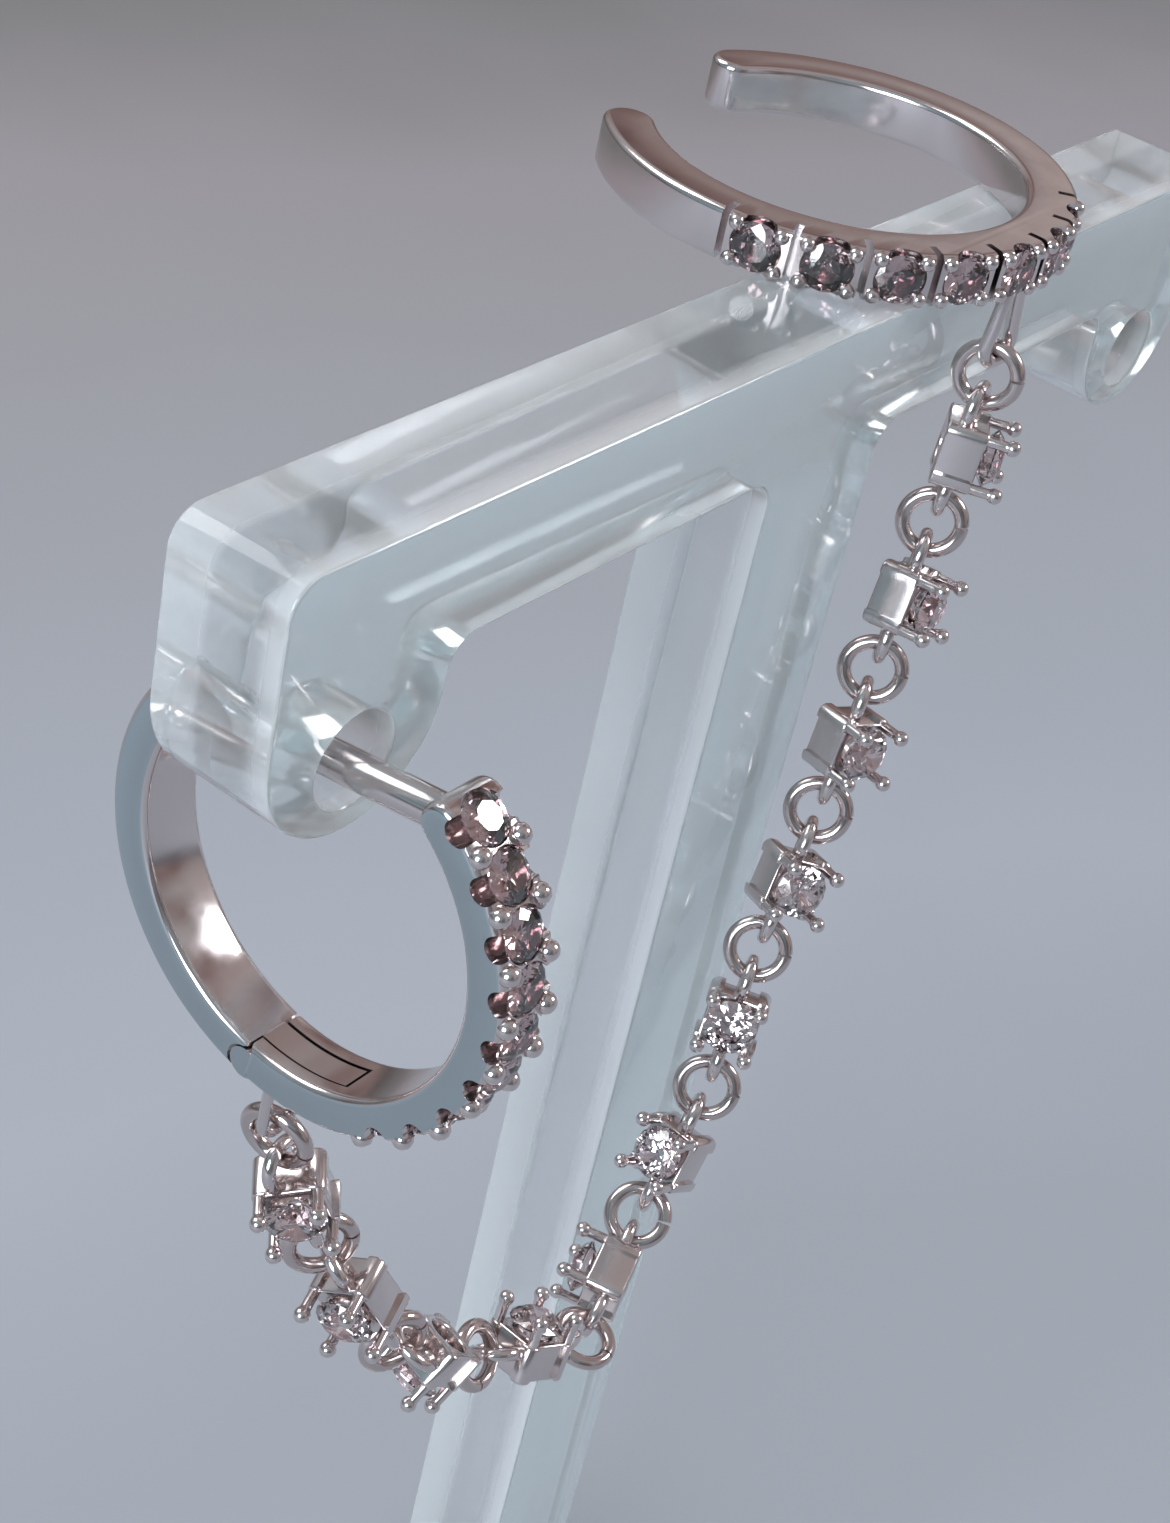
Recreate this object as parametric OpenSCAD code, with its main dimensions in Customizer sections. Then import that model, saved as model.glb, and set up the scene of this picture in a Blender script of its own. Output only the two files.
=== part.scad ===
// Ear chain earring on its clear acrylic stand.
// An ear cuff lies on the stand's bar, a small hinged hoop hangs in the hole of one
// end lobe, and a chain of eleven claw-set stones joins the two.
// X runs along the bar, +Y is behind the sheet, +Z is up. The origin is the middle of
// the base's underside.

/* [Stand] */
// Height from the table to the top of the bar
stand_h = 66; // [56:0.5:80]
// Thickness of the upright acrylic sheet
sheet_t = 3; // [2.6:0.1:3.4]
// Length of the bar
bar_l = 34.9; // [33.5:0.1:36.5]
// Height of the bar
bar_h = 3; // [2.5:0.1:3.4]
// Width of the upright
upright_w = 4.35; // [3.5:0.05:5]
// Width of the lobe at each end of the bar
lobe_w = 4.8; // [4.4:0.1:5.4]
// How far the lobes hang below the top of the bar
lobe_drop = 6.25; // [6:0.05:6.6]
// Diameter of the hole in each lobe
hole_d = 2.1; // [1.8:0.05:2.3]
// Acrylic left below the hole
hole_wall = 0.55; // [0.4:0.05:0.7]
// Length of the base plate
base_l = 30; // [24:0.5:40]
// Width of the base plate
base_w = 20; // [16:0.5:30]
// Thickness of the base plate
base_t = 3; // [2.5:0.1:4]

/* [Ear cuff] */
// Outer diameter of the cuff
cuff_od = 11.3; // [10.8:0.05:11.8]
// Thickness of the cuff's band, from its inner face outwards
cuff_wall = 1.215; // [1.1:0.005:1.3]
// Height of the cuff's band
cuff_h = 1.23; // [1.1:0.01:1.4]
// Angle of the gap in the cuff
cuff_gap = 70; // [60:1:80]
// Place of the cuff along the bar, from the upright's middle
cuff_x = 5.3; // [4.8:0.1:5.8]
// Number of stones on the cuff
cuff_stone_count = 7; // [5:1:7]
// Diameter of each stone on the cuff
cuff_stone_d = 1.05; // [0.9:0.01:1.1]

/* [Hoop] */
// Outer diameter of the hoop
hoop_od = 9.9; // [9.6:0.05:10.3]
// Thickness of the hoop's band, from its inner face outwards
hoop_wall = 0.9; // [0.85:0.01:1]
// Width of the hoop's band
hoop_w = 1.5; // [1.4:0.01:1.7]
// Diameter of the post that goes through the ear
post_d = 0.75; // [0.65:0.01:0.85]
// Diameter of the hinge pin
pin_d = 0.36; // [0.3:0.01:0.4]
// Number of stones on the hoop's front
hoop_stone_count = 9; // [6:1:9]
// Diameter of each stone on the hoop
hoop_stone_d = 1.05; // [0.9:0.01:1.08]

/* [Chain] */
// Width of each square collar
collar_w = 1.6; // [1.5:0.01:1.7]
// Diameter of each claw-set stone
stone_d = 1.36; // [1.2:0.01:1.42]
// Diameter of the claw wire
claw_d = 0.26; // [0.22:0.01:0.3]
// Outer diameter of the jump rings
ring_d = 1.75; // [1.65:0.01:1.85]
// Wire diameter of the jump rings
ring_wire = 0.36; // [0.3:0.01:0.4]
// Wire diameter of the end loops and of the two bails
loop_wire = 0.25; // [0.2:0.01:0.28]

/* [Hidden] */
link_count = 11;
$fn = 24;

// Looks
acrylic = [0.86, 0.92, 0.96, 0.45];
silver = [0.82, 0.82, 0.84];
clear_stone = [0.9, 0.86, 0.9];

// Small gaps between pieces that touch or turn
rest_gap = 0.05;
stone_play = 0.04;
pin_play = 0.03;
knuckle_play = 0.06;
link_gap = 0.05;
slot_play = 0.05;
end_inset = 0.02;
post_play = 0.1;

// Stand, worked out from the sizes above
lobe_x = (bar_l - lobe_w) / 2;
hole_z = hole_wall + hole_d / 2 - lobe_drop;
top_corner = 0.8;
inner_corner = 0.7;
base_corner = 2;

// Cuff: a round band lying on the bar, its opening at the back
cuff_r = cuff_od / 2;
cuff_inner_r = cuff_r - cuff_wall;
cuff_mid_r = (cuff_r + cuff_inner_r) / 2;
cuff_y = sheet_t / 2 + 1.5;
cuff_z = stand_h + rest_gap;
cuff_gap_start = 65;
cuff_stone_first = -164.5;
cuff_stone_step = 16.6;
cuff_bail_at = -96;
cuff_bail_drop = 1.15;
bevel = 0.12;
bail_inset = 0.15;

// Hoop: angles run from its front side upwards
hoop_r = hoop_od / 2;
hoop_inner_r = hoop_r - hoop_wall;
hoop_mid_r = (hoop_r + hoop_inner_r) / 2;
front_end = 40;
front_top = 46;
back_end = 180 - front_end;
hinge_at = -107;
seam_gap = 0.05;
hoop_lean = 8;
hoop_forward = 1.53;
post_rise = hoop_mid_r * sin(front_end);
post_tip = -hoop_mid_r * cos(front_end) - 0.3;
post_rest_gap = 0.2;
tongue_w = 0.62;
knuckle_r = 0.36;
tail_span = 31;
tongue_root = 8;
tail_floor = 0.36;
hoop_stone_first = 41;
hoop_stone_step = 13.1;
hoop_pocket = 0.36;
hoop_bail_at = -100;
hoop_bail_drop = 1.05;
pin_r = hoop_r - knuckle_r;

// The post rests in the hole, low and outward, at the back face of the sheet
post_free = (hole_d - post_d) / 2 - post_rest_gap;
post_sink = post_free * sin(45);
post_run = (post_rise * sin(hoop_lean) - sheet_t / 2 - hoop_forward) / cos(hoop_lean);
hoop_x = -lobe_x - post_sink;
hoop_z = stand_h + hole_z - post_sink - post_run * sin(hoop_lean)
    - post_rise * cos(hoop_lean);

// Links: each end loop stays a hair clear of the ring that it holds
ring_r = (ring_d - ring_wire) / 2;
loop_r = (ring_wire + loop_wire) / 2 + 0.15;
loop_reach = ring_r - (ring_wire + loop_wire) / 2 - link_gap + loop_r;
collar_low = -0.5;
collar_high = 0.5;
collar_corner = 0.22;
collar_bore = 1;
claw_place = (stone_d / 2 + claw_d / 2 + 0.067) / sqrt(2);
claw_top = 1.08;
claw_ball = 0.38;
girdle_z = 0.74;

// Middle of each jump ring below the bar's top, chosen by hand along the chain
route = [
    [4.73, -2.47, -1.95], [4.31, -2.4, -5.78], [3.07, -2.61, -9.44], [2.16, -2.71, -13.19],
    [0.66, -2.91, -16.76], [-0.75, -3.3, -20.34], [-2.52, -3.3, -23.79],
    [-6.04, -4.44, -24.89], [-9.49, -3.52, -23.46], [-12.46, -3.39, -20.99],
    [-13.9, -1.79, -17.8], [-15.39, -1.29, -14.27]
];
// How far each stone is turned about the chain, and each ring about its own corner
stone_turn = [-28, -3, 17, 36, 66, 96, 170, 96, -101, -71, -47];
ring_turn = [15, 25, 25, 25, 25, 25, 15, 15, 60, -75, -60, -10];

up = [0, 0, 1];
function unit(v) = v / norm(v);
function across(v, line) = v - (v * line) * line;
function polar(r, angle) = [r * cos(angle), r * sin(angle), 0];
function turned(x, y, z) = [atan2(y.z, z.z), -asin(x.z), atan2(x.y, x.x)];
function two_digits(i) = str(i < 10 ? "0" : "", i);

// The hoop's own directions: forward, up and along its axis
function on_hoop(r, angle) = [
    hoop_x,
    -hoop_forward - r * cos(angle + hoop_lean),
    hoop_z + r * sin(angle + hoop_lean)
];

// The two ends of the chain hang from the bails; the route between them follows
chain_start = [
    cuff_x + (cuff_r - bail_inset) * cos(cuff_bail_at),
    cuff_y + (cuff_r - bail_inset) * sin(cuff_bail_at),
    stand_h - cuff_bail_drop - loop_reach
];
chain_end = on_hoop(hoop_r + hoop_bail_drop + loop_reach, hoop_bail_at);
start_shift = chain_start - route[0] - stand_h * up;
end_shift = chain_end - route[link_count] - stand_h * up;
corner = [for (i = [0:link_count])
    route[i] + stand_h * up + start_shift * (1 - i / link_count)
        + end_shift * i / link_count];

// Direction of the chain before and after each corner
along = [for (i = [0:link_count - 1]) unit(corner[i + 1] - corner[i])];
function before(i) = i == 0 ? -up : along[i - 1];
function after(i) = i == link_count ? unit(on_hoop(0, 0) - chain_end) : along[i];

// Each ring lies between its two loops
function turned_side(line, angle) =
    let (side = unit(across([0, -1, 0], line)))
    cos(angle) * cross(line, side) + sin(angle) * side;
ring_face = [for (i = [0:link_count])
    turned_side(unit(before(i) + after(i)), ring_turn[i])];
ring_at = [for (i = [0:link_count])
    corner[i] + ring_face[i] * (ring_face[i] * (after(i) - before(i))) * loop_reach / 2];

// Acrylic stand

module rounded_square(size, r) {
    for (sx = [-1, 1], sy = [-1, 1])
        translate([sx * (size.x / 2 - r), sy * (size.y / 2 - r)]) circle(r, $fn = 32);
    square([size.x - 2 * r, size.y], center = true);
    square([size.x, size.y - 2 * r], center = true);
}

// Quarter of a square with its round taken out, for an inner corner
module corner_fill(r) {
    difference() {
        translate([-r / 2, -r / 2]) square(1.5 * r);
        translate([r, r]) circle(r, $fn = 32);
    }
}

module plate_outline() {
    lobe_r = lobe_w / 2;
    difference() {
        union() {
            translate([0, -bar_h / 2])
                square([bar_l - 2 * top_corner, bar_h], center = true);
            for (side = [-1, 1]) {
                translate([side * (bar_l / 2 - top_corner), -top_corner])
                    circle(top_corner, $fn = 32);
                translate([side * lobe_x, -(top_corner + lobe_drop - lobe_r) / 2])
                    square([lobe_w, lobe_drop - lobe_r - top_corner], center = true);
                translate([side * lobe_x, lobe_r - lobe_drop]) circle(lobe_r, $fn = 64);
                translate([side * (lobe_x - lobe_r), -bar_h])
                    mirror([side > 0 ? 1 : 0, 0]) mirror([0, 1]) corner_fill(inner_corner);
                translate([side * upright_w / 2, -bar_h])
                    mirror([side > 0 ? 0 : 1, 0]) mirror([0, 1]) corner_fill(inner_corner);
            }
            translate([-upright_w / 2, -stand_h]) square([upright_w, stand_h - bar_h / 2]);
        }
        for (side = [-1, 1])
            translate([side * lobe_x, hole_z]) circle(d = hole_d, $fn = 48);
    }
}

module stand_plate() {
    color(acrylic) translate([0, sheet_t / 2, stand_h]) rotate([90, 0, 0])
        linear_extrude(sheet_t) plate_outline();
}

module stand_base() {
    color(acrylic) difference() {
        linear_extrude(base_t) rounded_square([base_l, base_w], base_corner);
        translate([0, 0, base_t / 2])
            cube([upright_w + 2 * slot_play, sheet_t + 2 * slot_play, 2 * base_t],
                center = true);
    }
}

// Cut stone: a table, a ring of crown facets, a girdle and a point below

module cut_stone(r, crown, depth) {
    girdle = r * 0.04;
    rim = [for (z = [girdle, -girdle], k = [0:15]) polar(r, 22.5 * k) + z * up];
    points = concat(
        [for (k = [0:7]) polar(r * 0.56, 45 * k) + crown * up],
        rim,
        [-depth * up]
    );
    upper = 8;
    lower = 24;
    faces = concat(
        [[7, 6, 5, 4, 3, 2, 1, 0]],
        [for (k = [0:7]) [k, upper + (2 * k + 1) % 16, upper + 2 * k]],
        [for (k = [0:7]) [k, upper + 2 * k, upper + (2 * k + 15) % 16]],
        [for (k = [0:7]) [k, (k + 1) % 8, upper + 2 * k + 1]],
        [for (k = [0:15]) [upper + k, upper + (k + 1) % 16, lower + (k + 1) % 16, lower + k]],
        [for (k = [0:15]) [lower + k, lower + (k + 1) % 16, lower + 16]]
    );
    polyhedron(points, faces);
}

// Half a bail: a bent wire whose bend is centred on the origin, its legs up +Y

module bail(leg) {
    for (side = [-1, 1])
        translate([side * loop_r, 0, 0]) rotate([-90, 0, 0])
            cylinder(h = leg, d = loop_wire);
    rotate([0, 0, 180]) rotate_extrude(angle = 180)
        translate([loop_r, 0]) circle(d = loop_wire, $fn = 16);
}

// Ear cuff

module band_section(low, high, inner, outer) {
    polygon([
        [inner + bevel, low], [outer - bevel, low], [outer, low + bevel],
        [outer, high - bevel], [outer - bevel, high], [inner + bevel, high],
        [inner, high - bevel], [inner, low + bevel]
    ]);
}

// A bevelled puck, a hair smaller than the band's section, rounds each end of the band
module cuff_end() {
    r = (cuff_r - cuff_inner_r) / 2 - end_inset;
    low = end_inset;
    high = cuff_h - end_inset;
    rotate_extrude($fn = 48) polygon([
        [0, low], [r - bevel, low], [r, low + bevel], [r, high - bevel],
        [r - bevel, high], [0, high]
    ]);
}

module cuff_band() {
    color(silver) translate([cuff_x, cuff_y, cuff_z]) difference() {
        union() {
            rotate([0, 0, cuff_gap_start + cuff_gap])
                rotate_extrude(angle = 360 - cuff_gap, $fn = 96)
                    band_section(0, cuff_h, cuff_inner_r, cuff_r);
            for (angle = [cuff_gap_start, cuff_gap_start + cuff_gap])
                translate(polar(cuff_mid_r, angle)) cuff_end();
            for (k = [0:cuff_stone_count], z = [0.25, 0.98])
                rotate([0, 0, cuff_stone_first + (k - 0.5) * cuff_stone_step])
                    translate([cuff_r - 0.02, 0, z]) sphere(d = 0.32, $fn = 20);
            rotate([0, 0, cuff_bail_at])
                translate([cuff_r - bail_inset, 0, -cuff_bail_drop - rest_gap])
                    rotate([90, 0, 90]) bail(cuff_bail_drop + rest_gap + 0.1);
        }
        for (k = [0:cuff_stone_count - 1])
            rotate([0, 0, cuff_stone_first + k * cuff_stone_step])
                translate([cuff_r - 0.4, 0, cuff_h / 2]) rotate([0, 90, 0])
                    cylinder(h = 1, d = cuff_stone_d + 2 * stone_play);
    }
}

module cuff_stones() {
    color(clear_stone) translate([cuff_x, cuff_y, cuff_z + cuff_h / 2])
        for (k = [0:cuff_stone_count - 1])
            rotate([0, 0, cuff_stone_first + k * cuff_stone_step])
                translate([cuff_r - 0.04, 0, 0]) rotate([0, 90, 0])
                    cut_stone(cuff_stone_d / 2, 0.14, 0.32);
}

// Hoop, drawn with +X to its front, +Y up and Z along its axis

module place_hoop() {
    translate([hoop_x, -hoop_forward, hoop_z]) rotate([90, 0, -90])
        rotate([0, 0, hoop_lean]) children();
}

module hoop_arc(from, to, inner, outer, width) {
    rotate([0, 0, from]) rotate_extrude(angle = to - from, $fn = 96)
        translate([inner, -width / 2]) square([outer - inner, width]);
}

// A short cylinder rounds each end of the hoop
module hoop_end(angle) {
    translate(polar(hoop_mid_r, angle))
        cylinder(h = hoop_w, d = hoop_wall, center = true, $fn = 48);
}

module at_pin() {
    translate(polar(pin_r, hinge_at)) children();
}

module at_pin_tube(d, width) {
    at_pin() cylinder(h = width, d = d, center = true, $fn = 32);
}

module hoop_front() {
    half_seam = seam_gap / hoop_mid_r / 2 * 180 / PI;
    slot_w = tongue_w + 2 * knuckle_play;
    color(silver) place_hoop() difference() {
        union() {
            hoop_arc(hinge_at + half_seam, front_top, hoop_inner_r, hoop_r, hoop_w);
            hoop_end(front_top);
            at_pin_tube(2 * knuckle_r, hoop_w);
            translate([post_tip, post_rise, 0]) rotate([0, 90, 0])
                cylinder(h = hoop_mid_r * cos(front_end) - post_tip, d = post_d);
            translate([post_tip, post_rise, 0]) sphere(d = post_d, $fn = 32);
            for (k = [0:hoop_stone_count], side = [-1, 1])
                rotate([0, 0, hoop_stone_first - (k - 0.5) * hoop_stone_step])
                    translate([hoop_r, 0, side * 0.55]) sphere(d = 0.38, $fn = 20);
            rotate([0, 0, hoop_bail_at]) translate([hoop_r + hoop_bail_drop, 0, 0])
                rotate([90, 0, 0]) rotate([0, 0, 90]) bail(hoop_bail_drop + 0.2);
        }
        for (k = [0:hoop_stone_count - 1])
            rotate([0, 0, hoop_stone_first - k * hoop_stone_step])
                translate([hoop_r - hoop_pocket, 0, 0]) rotate([0, 90, 0])
                    cylinder(h = 1, d = hoop_stone_d + 2 * stone_play);
        hoop_arc(hinge_at - 2, hinge_at + tail_span + 1.5, hoop_inner_r - 0.1,
            hoop_r - tail_floor, slot_w);
        at_pin_tube(2 * (knuckle_r + knuckle_play), slot_w);
        at_pin_tube(pin_d + 2 * pin_play, 2 * hoop_w);
    }
}

module hoop_back() {
    half_seam = seam_gap / hoop_mid_r / 2 * 180 / PI;
    slot_w = post_d + 2 * post_play;
    color(silver) place_hoop() difference() {
        union() {
            difference() {
                union() {
                    hoop_arc(back_end, 360 + hinge_at - half_seam, hoop_inner_r, hoop_r,
                        hoop_w);
                    hoop_end(back_end);
                }
                at_pin_tube(2 * (knuckle_r + knuckle_play), 2 * hoop_w);
            }
            at_pin_tube(2 * knuckle_r, tongue_w);
            hoop_arc(hinge_at - tongue_root, hinge_at + tail_span, hoop_inner_r + end_inset,
                hoop_r - tail_floor - knuckle_play, tongue_w);
            hoop_arc(hinge_at - tongue_root, hinge_at - 1, hoop_inner_r + end_inset,
                hoop_r - 2 * end_inset, tongue_w);
        }
        translate([-hoop_r, post_rise - slot_w / 2, -slot_w / 2])
            cube([hoop_r - hoop_mid_r * cos(front_end) + hoop_wall, 2 * hoop_wall, slot_w]);
        at_pin_tube(pin_d + 2 * pin_play, 2 * hoop_w);
    }
}

module hinge_pin() {
    color(silver) place_hoop() at_pin_tube(pin_d, hoop_w - 0.06);
}

module hoop_stones() {
    color(clear_stone) place_hoop() for (k = [0:hoop_stone_count - 1])
        rotate([0, 0, hoop_stone_first - k * hoop_stone_step])
            translate([hoop_r - 0.04, 0, 0]) rotate([0, 90, 0])
                cut_stone(hoop_stone_d / 2, 0.14, 0.3);
}

// Chain: the stone looks along +Z and the chain runs along +Y

module place_link(i) {
    face = turned_face(i);
    translate((corner[i] + corner[i + 1]) / 2)
        rotate(turned(cross(along[i], face), along[i], face)) children();
}

function turned_face(i) =
    let (side = unit(across([0, -1, 0], along[i])))
    cos(stone_turn[i]) * side + sin(stone_turn[i]) * cross(along[i], side);

// A closed loop that holds ring k, on the line that leaves its corner
module end_loop(k, line) {
    pin = unit(cross(ring_face[k], line));
    translate(corner[k] + line * loop_reach)
        rotate(turned(line, cross(pin, line), pin)) rotate_extrude($fn = 32)
            translate([loop_r, 0]) circle(d = loop_wire, $fn = 16);
}

module setting(i) {
    color(silver) union() {
        place_link(i) {
            difference() {
                translate([0, 0, collar_low]) linear_extrude(collar_high - collar_low)
                    rounded_square([collar_w, collar_w], collar_corner);
                cylinder(h = 3, d = collar_bore, center = true, $fn = 32);
            }
            for (sx = [-1, 1], sy = [-1, 1])
                translate([sx * claw_place, sy * claw_place, 0]) {
                    translate([0, 0, collar_low + 0.1])
                        cylinder(h = claw_top - collar_low - 0.1, d = claw_d);
                    translate([0, 0, claw_top]) sphere(d = claw_ball, $fn = 20);
                }
        }
        end_loop(i, along[i]);
        end_loop(i + 1, -along[i]);
    }
}

module stone(i) {
    color(clear_stone) place_link(i) translate([0, 0, girdle_z])
        cut_stone(stone_d / 2, 0.28, 0.55);
}

module jump_ring(i) {
    line = unit(across(before(i) + after(i), ring_face[i]));
    color(silver) translate(ring_at[i])
        rotate(turned(line, cross(ring_face[i], line), ring_face[i]))
            rotate_extrude($fn = 40) translate([ring_r, 0]) circle(d = ring_wire, $fn = 20);
}

stand_plate();
stand_base();
cuff_band();
cuff_stones();
hoop_front();
hoop_back();
hinge_pin();
hoop_stones();
for (i = [1:link_count])
    setting(i - 1);
for (i = [1:link_count])
    stone(i - 1);
for (i = [1:link_count + 1])
    jump_ring(i - 1);
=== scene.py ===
# Ear chain earring on a clear acrylic T stand, dressed over its CAD frame.
# Lengths in the dictionaries are millimetres in the frame's own axes.
import math

import bmesh
import bpy
from mathutils import Matrix, Vector


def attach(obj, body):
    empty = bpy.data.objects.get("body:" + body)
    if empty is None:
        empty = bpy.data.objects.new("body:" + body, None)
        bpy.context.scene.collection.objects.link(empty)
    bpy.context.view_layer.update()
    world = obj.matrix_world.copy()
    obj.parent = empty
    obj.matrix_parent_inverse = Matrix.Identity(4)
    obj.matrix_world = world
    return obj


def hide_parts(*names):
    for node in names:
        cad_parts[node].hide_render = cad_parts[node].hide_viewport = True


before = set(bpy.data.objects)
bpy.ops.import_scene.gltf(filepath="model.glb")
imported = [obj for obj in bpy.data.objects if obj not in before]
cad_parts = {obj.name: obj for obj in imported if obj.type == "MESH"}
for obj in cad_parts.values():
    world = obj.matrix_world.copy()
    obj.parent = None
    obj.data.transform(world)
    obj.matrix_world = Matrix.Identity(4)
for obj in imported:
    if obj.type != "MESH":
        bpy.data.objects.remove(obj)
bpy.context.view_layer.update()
mm = 0.001
root = "stand_and_chain"
backHalf = "hoop_back_half"
up = Vector((0, 0, 1))

cameraView = {
    "place": (-45.76, -24.80, 89.26),
    "azimuth": -58.888,
    "elevation": 34.933,
    "roll": 13.036,
    "lens": 61.46,
}
stand = {
    "height": 66, "sheet": 3, "barLength": 34.9, "barHeight": 3, "uprightWidth": 4.35,
    "lobeWidth": 4.8, "lobeDrop": 6.25, "holeWidth": 2.1, "holeWall": 0.55,
    "innerCorner": 0.7, "topCorner": 0.8, "edge": 0.09,
    "baseLength": 30, "baseWidth": 20, "baseThickness": 3, "baseCorner": 2, "slotPlay": 0.05,
}
cuff = {
    "outer": 11.3, "bore": 8.87, "height": 1.23, "x": 5.3, "back": 1.5, "restGap": 0.05,
    "gapStart": 65, "gap": 70, "edge": 0.16, "stoneWidth": 1.14, "stoneCount": 7,
    "firstStone": -164.5, "stoneStep": 16.6, "beadWidth": 0.35, "beadHeight": 0.43, "beadAside": 0.53,
    "sideCut": 0.86, "sideCutDepth": 0.3, "betweenCut": 0.17, "betweenDepth": 0.5, "bailWire": 0.34,
    "pocket": 0.4, "seat": (0.2, 0.22, 0.3), "gem": (0.15, 0.34), "gemSink": 0.05, "beadSink": 0.03,
    "bailAt": -96, "bailDrop": 1.15, "bailInset": 0.15, "bailRoot": 0.15, "bailTop": 0.2,
}
hoop = {
    "outer": 9.9, "bore": 8.1, "width": 1.5, "edge": 0.16, "postWidth": 0.75, "pinWidth": 0.36,
    "forward": 1.53, "lean": 8, "frontEnd": 40, "frontTop": 44, "hingeAt": -107, "seam": 0.05,
    "knuckle": 0.36, "knucklePlay": 0.06, "tongue": 0.62, "tailSpan": 31, "tailFloor": 0.36,
    "stoneCount": 9, "firstStone": 41, "stoneStep": 13.1, "stoneWidth": 1.05, "pocket": 0.36,
    "seat": (0.18, 0.2, 0.26), "gem": (0.15, 0.3), "gemSink": 0.05,
    "beadWidth": 0.44, "beadSide": 0.55, "sideCut": 0.56, "sideCutDepth": 0.34,
    "bailAt": -100, "bailDrop": 1.05, "bailRoot": 0.2, "postGap": 0.2,
    "postPast": 0.45, "postShort": 0.25, "postGroove": 0.045, "cheekSink": 0.02, "pinSink": 0.03,
    "pinEdge": 0.04, "catchPlay": 0.1, "catchDepth": 0.7,
}
chain = {
    "collar": 1.6, "collarLow": -0.5, "collarHigh": 0.5, "collarCorner": 0.22, "collarBore": 1,
    "collarEdge": 0.07, "stoneWidth": 1.36, "girdleHeight": 0.74, "clawWidth": 0.26,
    "clawTop": 1.08, "clawBall": 0.38, "clawPlay": 0.067, "ringOuter": 1.75, "ringWire": 0.36,
    "loopWire": 0.25, "linkGap": 0.05, "loopPlay": 0.15, "eyeWire": 0.31, "eyeExtra": 0.07,
    "panel": 0.92, "panelDepth": 0.1, "gem": (0.26, 0.56), "buttGap": 0.06,
    # middle of each jump ring below the bar's top, chosen one by one along the chain
    "route": [
        (4.73, -2.47, -1.95), (4.31, -2.4, -5.78), (3.07, -2.61, -9.44), (2.16, -2.71, -13.19),
        (0.66, -2.91, -16.76), (-0.75, -3.3, -20.34), (-2.52, -3.3, -23.79),
        (-6.04, -4.44, -24.89), (-9.49, -3.52, -23.46), (-12.46, -3.39, -20.99),
        (-13.9, -1.79, -17.8), (-15.39, -1.29, -14.27),
    ],
    "stoneTurn": [-28, -3, 17, 36, 66, 96, 170, 96, -101, -71, -47],
    "ringTurn": [15, 25, 25, 25, 25, 25, 15, 15, 60, -75, -60, -10],
}


def srgb(code):
    parts = [int(code[i:i + 2], 16) / 255 for i in (1, 3, 5)]
    return [p / 12.92 if p < 0.04045 else ((p + 0.055) / 1.055) ** 2.4 for p in parts] + [1]


def addNode(tree, kind, links=None, values=None, **settings):
    node = tree.nodes.new(kind)
    for key, value in settings.items():
        setattr(node, key, value)
    for key, value in (values or {}).items():
        node.inputs[key].default_value = value
    for key, socket in (links or {}).items():
        tree.links.new(socket, node.inputs[key])
    return node


def newMaterial(name):
    material = bpy.data.materials.new(name)
    material.use_nodes = True
    tree = material.node_tree
    tree.nodes.clear()
    return material, tree


def rampNode(tree, socket, stops):
    # Stops pair a position with a sRGB hex colour, or with a plain share from 0 to 1
    tone = addNode(tree, "ShaderNodeValToRGB", {"Fac": socket})
    ramp = tone.color_ramp.elements
    ramp[0].position, ramp[1].position = stops[0][0], stops[-1][0]
    for position, _ in stops[1:-1]:
        ramp.new(position)
    for stop, (_, value) in zip(ramp, stops):
        stop.color = srgb(value) if isinstance(value, str) else (value, value, value, 1)
    return tone.outputs[0]


# materials


def objectNoise(tree, periodMm, detail=3, stretch=(1, 1, 1)):
    place = addNode(tree, "ShaderNodeTexCoord").outputs["Object"]
    scaled = addNode(tree, "ShaderNodeMapping", {"Vector": place}, {"Scale": stretch})
    return addNode(tree, "ShaderNodeTexNoise", {"Vector": scaled.outputs[0]},
                   {"Scale": 1 / (periodMm * mm), "Detail": detail, "Roughness": 0.55})


def polishedRhodium(name, tint, low, high):
    # Rhodium plate over cast silver: a mirror with faint swirls from the polishing wheel
    material, tree = newMaterial(name)
    clouds = objectNoise(tree, 0.9, 4)
    rough = addNode(tree, "ShaderNodeMapRange", {"Value": clouds.outputs["Fac"]},
                    {"From Min": 0.3, "From Max": 0.7, "To Min": low, "To Max": high})
    swirl = objectNoise(tree, 0.12, 2, (1, 1, 3))
    ripple = objectNoise(tree, 0.7, 1)
    mixed = addNode(tree, "ShaderNodeMath", {0: swirl.outputs["Fac"]}, {1: 0.12}, operation="MULTIPLY")
    total = addNode(tree, "ShaderNodeMath", {0: mixed.outputs[0], 1: ripple.outputs["Fac"]},
                    operation="ADD")
    bump = addNode(tree, "ShaderNodeBump", {"Height": total.outputs[0]},
                   {"Strength": 0.12, "Distance": 0.02 * mm})
    shader = addNode(tree, "ShaderNodeBsdfPrincipled",
                     {"Roughness": rough.outputs[0], "Normal": bump.outputs[0]},
                     {"Base Color": srgb(tint), "Metallic": 1})
    addNode(tree, "ShaderNodeOutputMaterial", {"Surface": shader.outputs[0]})
    return material


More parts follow.
